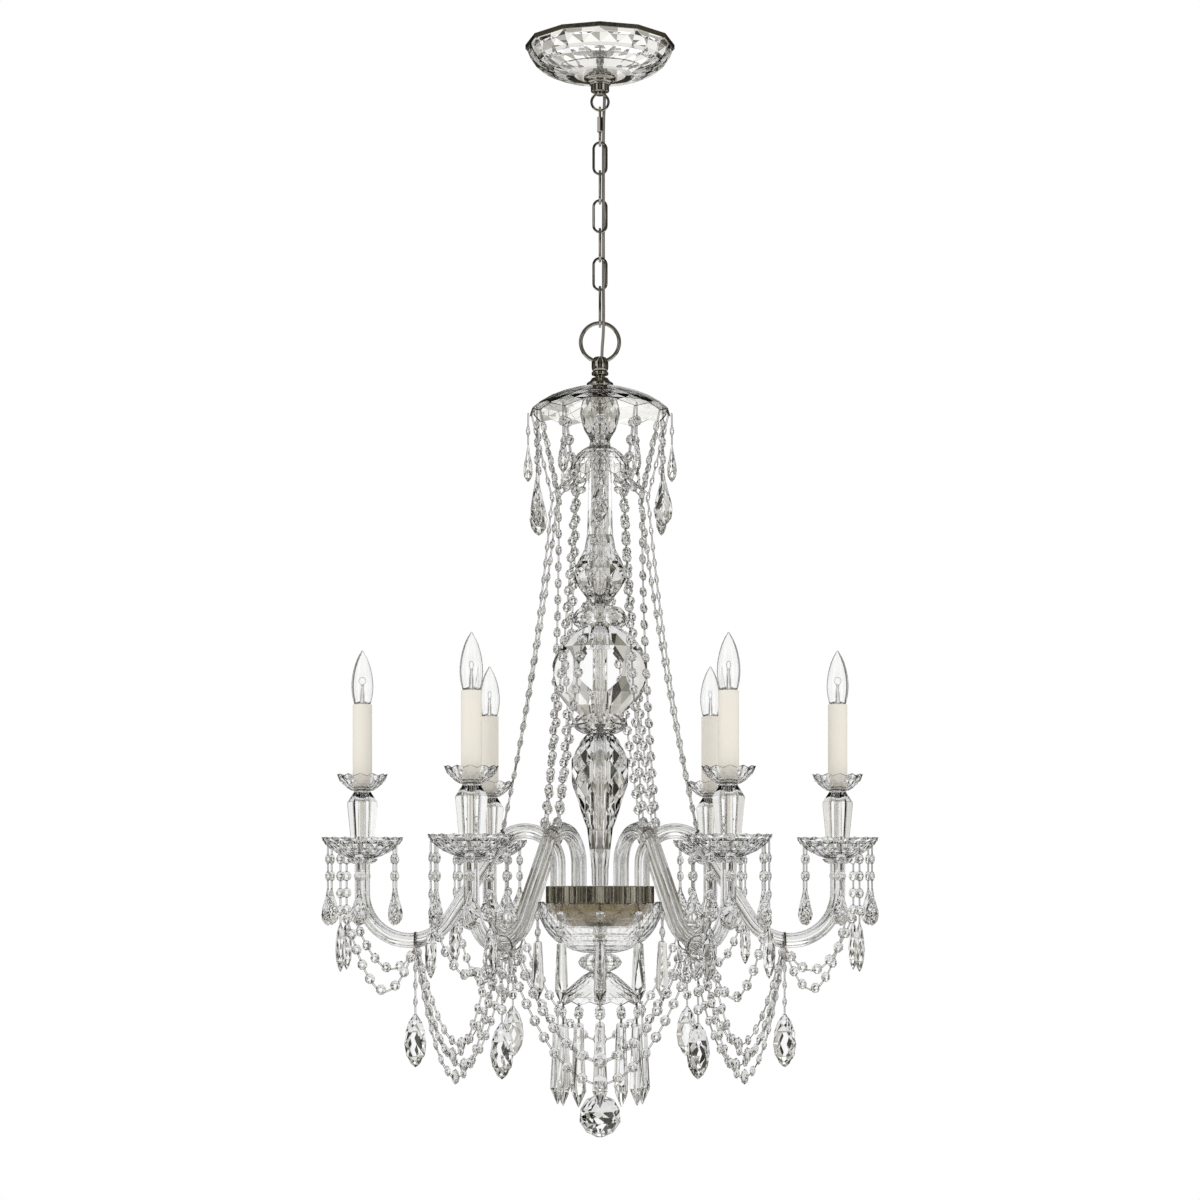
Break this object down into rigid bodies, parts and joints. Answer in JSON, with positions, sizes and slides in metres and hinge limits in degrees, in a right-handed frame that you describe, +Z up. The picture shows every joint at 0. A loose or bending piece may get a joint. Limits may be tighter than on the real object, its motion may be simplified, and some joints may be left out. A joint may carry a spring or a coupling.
{
  "type": "crystal chandelier",
  "caption": "Ceiling chandelier of cut glass: curved arms with candle lights on a glass column, hung by a chain from a canopy and dressed with bead strings and drops.",
  "frame": {"origin": "middle of the canopy's ceiling face, on the axis of the column", "axes": "+Z up into the ceiling, +X along the first arm, the quick link's sleeve nut on the -Y side"},
  "size_m": [0.7222, 0.6456, 1.4201],
  "materials": {
    "lead_crystal": "polished clear cut crystal",
    "bulb_glass": "clear blown glass",
    "polished_nickel": "polished nickel plate",
    "zinc_steel": "zinc-plated steel",
    "cream_sleeve": "smooth cream candle sleeve",
    "lamp_holder": "moulded black",
    "clear_cord": "silvery clear twin cord"
  },
  "bodies": {
    "ceiling_mount": {"ceiling_crossbar": "zinc_steel", "threaded_nipple": "zinc_steel", "nipple_nuts": "zinc_steel", "canopy_rim_band": "polished_nickel", "canopy_dish": "lead_crystal", "canopy_cap": "polished_nickel", "canopy_loop": "polished_nickel", "supply_cord": "clear_cord"},
    "quick_link": {"quick_link": "polished_nickel", "quick_link_nut": "polished_nickel"},
    "chain_link_1": {"chain_link_1": "polished_nickel"},
    "chain_link_2": {"chain_link_2": "polished_nickel"},
    "chain_link_3": {"chain_link_3": "polished_nickel"},
    "chain_link_4": {"chain_link_4": "polished_nickel"},
    "chain_link_5": {"chain_link_5": "polished_nickel"},
    "chain_link_6": {"chain_link_6": "polished_nickel"},
    "chandelier": {"hanging_ring": "polished_nickel", "top_finial": "polished_nickel", "top_dish": "lead_crystal", "top_vase": "lead_crystal", "top_sleeve": "polished_nickel", "second_dish": "lead_crystal", "centre_rod": "zinc_steel", "centre_glass_tube": "lead_crystal", "upper_baluster": "lead_crystal", "neck_discs": "lead_crystal", "crystal_ball": "lead_crystal", "lower_baluster": "lead_crystal", "hub_drum": "polished_nickel", "hub_cup": "polished_nickel", "hub_bowl": "lead_crystal", "lower_knop": "lead_crystal", "lower_dish": "lead_crystal", "end_nut": "polished_nickel", "glass_arms": "lead_crystal", "arm_cups": "lead_crystal", "bobeches": "lead_crystal", "candle_vases": "lead_crystal", "small_bobeches": "lead_crystal", "candle_sleeves": "cream_sleeve", "candle_pipes": "zinc_steel", "lamp_sockets": "lamp_holder", "arm_hoops": "polished_nickel", "octagons": "lead_crystal", "crystal_drops": "lead_crystal", "prisms": "lead_crystal", "string_pins": "polished_nickel"},
    "candle_bulb_1": {"candle_bulb_1": "bulb_glass"},
    "candle_bulb_2": {"candle_bulb_2": "bulb_glass"},
    "candle_bulb_3": {"candle_bulb_3": "bulb_glass"},
    "candle_bulb_4": {"candle_bulb_4": "bulb_glass"},
    "candle_bulb_5": {"candle_bulb_5": "bulb_glass"},
    "candle_bulb_6": {"candle_bulb_6": "bulb_glass"},
    "arm_pendant_1": {"arm_pendant_1": "lead_crystal"},
    "arm_pendant_2": {"arm_pendant_2": "lead_crystal"},
    "arm_pendant_3": {"arm_pendant_3": "lead_crystal"},
    "arm_pendant_4": {"arm_pendant_4": "lead_crystal"},
    "arm_pendant_5": {"arm_pendant_5": "lead_crystal"},
    "arm_pendant_6": {"arm_pendant_6": "lead_crystal"},
    "bottom_ball": {"bottom_ball": "lead_crystal"}
  },
  "joints": [
    {"name": "quick_link_swing", "type": "hinge", "parent": "ceiling_mount", "child": "quick_link", "pos_m": [0, 0, -0.08575], "axis": [1, 0, 0], "range_deg": [-12, 12], "deforming": ["supply_cord"]},
    {"name": "chain_link_1_swing", "type": "hinge", "parent": "quick_link", "child": "chain_link_1", "pos_m": [0, 0, -0.13085], "axis": [0, 1, 0], "range_deg": [-12, 12], "deforming": ["supply_cord"]},
    {"name": "chain_link_2_swing", "type": "hinge", "parent": "chain_link_1", "child": "chain_link_2", "pos_m": [0, 0, -0.16845], "axis": [1, 0, 0], "range_deg": [-12, 12], "deforming": ["supply_cord"]},
    {"name": "chain_link_3_swing", "type": "hinge", "parent": "chain_link_2", "child": "chain_link_3", "pos_m": [0, 0, -0.20605], "axis": [0, 1, 0], "range_deg": [-12, 12], "deforming": ["supply_cord"]},
    {"name": "chain_link_4_swing", "type": "hinge", "parent": "chain_link_3", "child": "chain_link_4", "pos_m": [0, 0, -0.24365], "axis": [1, 0, 0], "range_deg": [-12, 12], "deforming": ["supply_cord"]},
    {"name": "chain_link_5_swing", "type": "hinge", "parent": "chain_link_4", "child": "chain_link_5", "pos_m": [0, 0, -0.28125], "axis": [0, 1, 0], "range_deg": [-12, 12], "deforming": ["supply_cord"]},
    {"name": "chain_link_6_swing", "type": "hinge", "parent": "chain_link_5", "child": "chain_link_6", "pos_m": [0, 0, -0.31885], "axis": [1, 0, 0], "range_deg": [-12, 12], "deforming": ["supply_cord"]},
    {"name": "chandelier_swing", "type": "hinge", "parent": "chain_link_6", "child": "chandelier", "pos_m": [0, 0, -0.36625], "axis": [0, 1, 0], "range_deg": [-12, 12], "deforming": ["supply_cord"]},
    {"name": "candle_bulb_1_unscrew", "type": "slide", "parent": "chandelier", "child": "candle_bulb_1", "axis": [0, 0, 1], "range_m": [0, 0.03]},
    {"name": "candle_bulb_2_unscrew", "type": "slide", "parent": "chandelier", "child": "candle_bulb_2", "axis": [0, 0, 1], "range_m": [0, 0.03]},
    {"name": "candle_bulb_3_unscrew", "type": "slide", "parent": "chandelier", "child": "candle_bulb_3", "axis": [0, 0, 1], "range_m": [0, 0.03]},
    {"name": "candle_bulb_4_unscrew", "type": "slide", "parent": "chandelier", "child": "candle_bulb_4", "axis": [0, 0, 1], "range_m": [0, 0.03]},
    {"name": "candle_bulb_5_unscrew", "type": "slide", "parent": "chandelier", "child": "candle_bulb_5", "axis": [0, 0, 1], "range_m": [0, 0.03]},
    {"name": "candle_bulb_6_unscrew", "type": "slide", "parent": "chandelier", "child": "candle_bulb_6", "axis": [0, 0, 1], "range_m": [0, 0.03]},
    {"name": "arm_pendant_1_swing", "type": "hinge", "parent": "chandelier", "child": "arm_pendant_1", "pos_m": [0.24, 0, -1.1838], "axis": [0, 1, 0], "range_deg": [-12, 12]},
    {"name": "arm_pendant_2_swing", "type": "hinge", "parent": "chandelier", "child": "arm_pendant_2", "pos_m": [0.12, 0.20785, -1.1838], "axis": [-0.866, 0.5, 0], "range_deg": [-12, 12]},
    {"name": "arm_pendant_3_swing", "type": "hinge", "parent": "chandelier", "child": "arm_pendant_3", "pos_m": [-0.12, 0.20785, -1.1838], "axis": [-0.866, -0.5, 0], "range_deg": [-12, 12]},
    {"name": "arm_pendant_4_swing", "type": "hinge", "parent": "chandelier", "child": "arm_pendant_4", "pos_m": [-0.24, 0, -1.1838], "axis": [0, -1, 0], "range_deg": [-12, 12]},
    {"name": "arm_pendant_5_swing", "type": "hinge", "parent": "chandelier", "child": "arm_pendant_5", "pos_m": [-0.12, -0.20785, -1.1838], "axis": [0.866, -0.5, 0], "range_deg": [-12, 12]},
    {"name": "arm_pendant_6_swing", "type": "hinge", "parent": "chandelier", "child": "arm_pendant_6", "pos_m": [0.12, -0.20785, -1.1838], "axis": [0.866, 0.5, 0], "range_deg": [-12, 12]},
    {"name": "bottom_ball_swing", "type": "hinge", "parent": "chandelier", "child": "bottom_ball", "pos_m": [0, 0, -1.22415], "axis": [1, 0, 0], "range_deg": [-4, 4]}
  ]
}
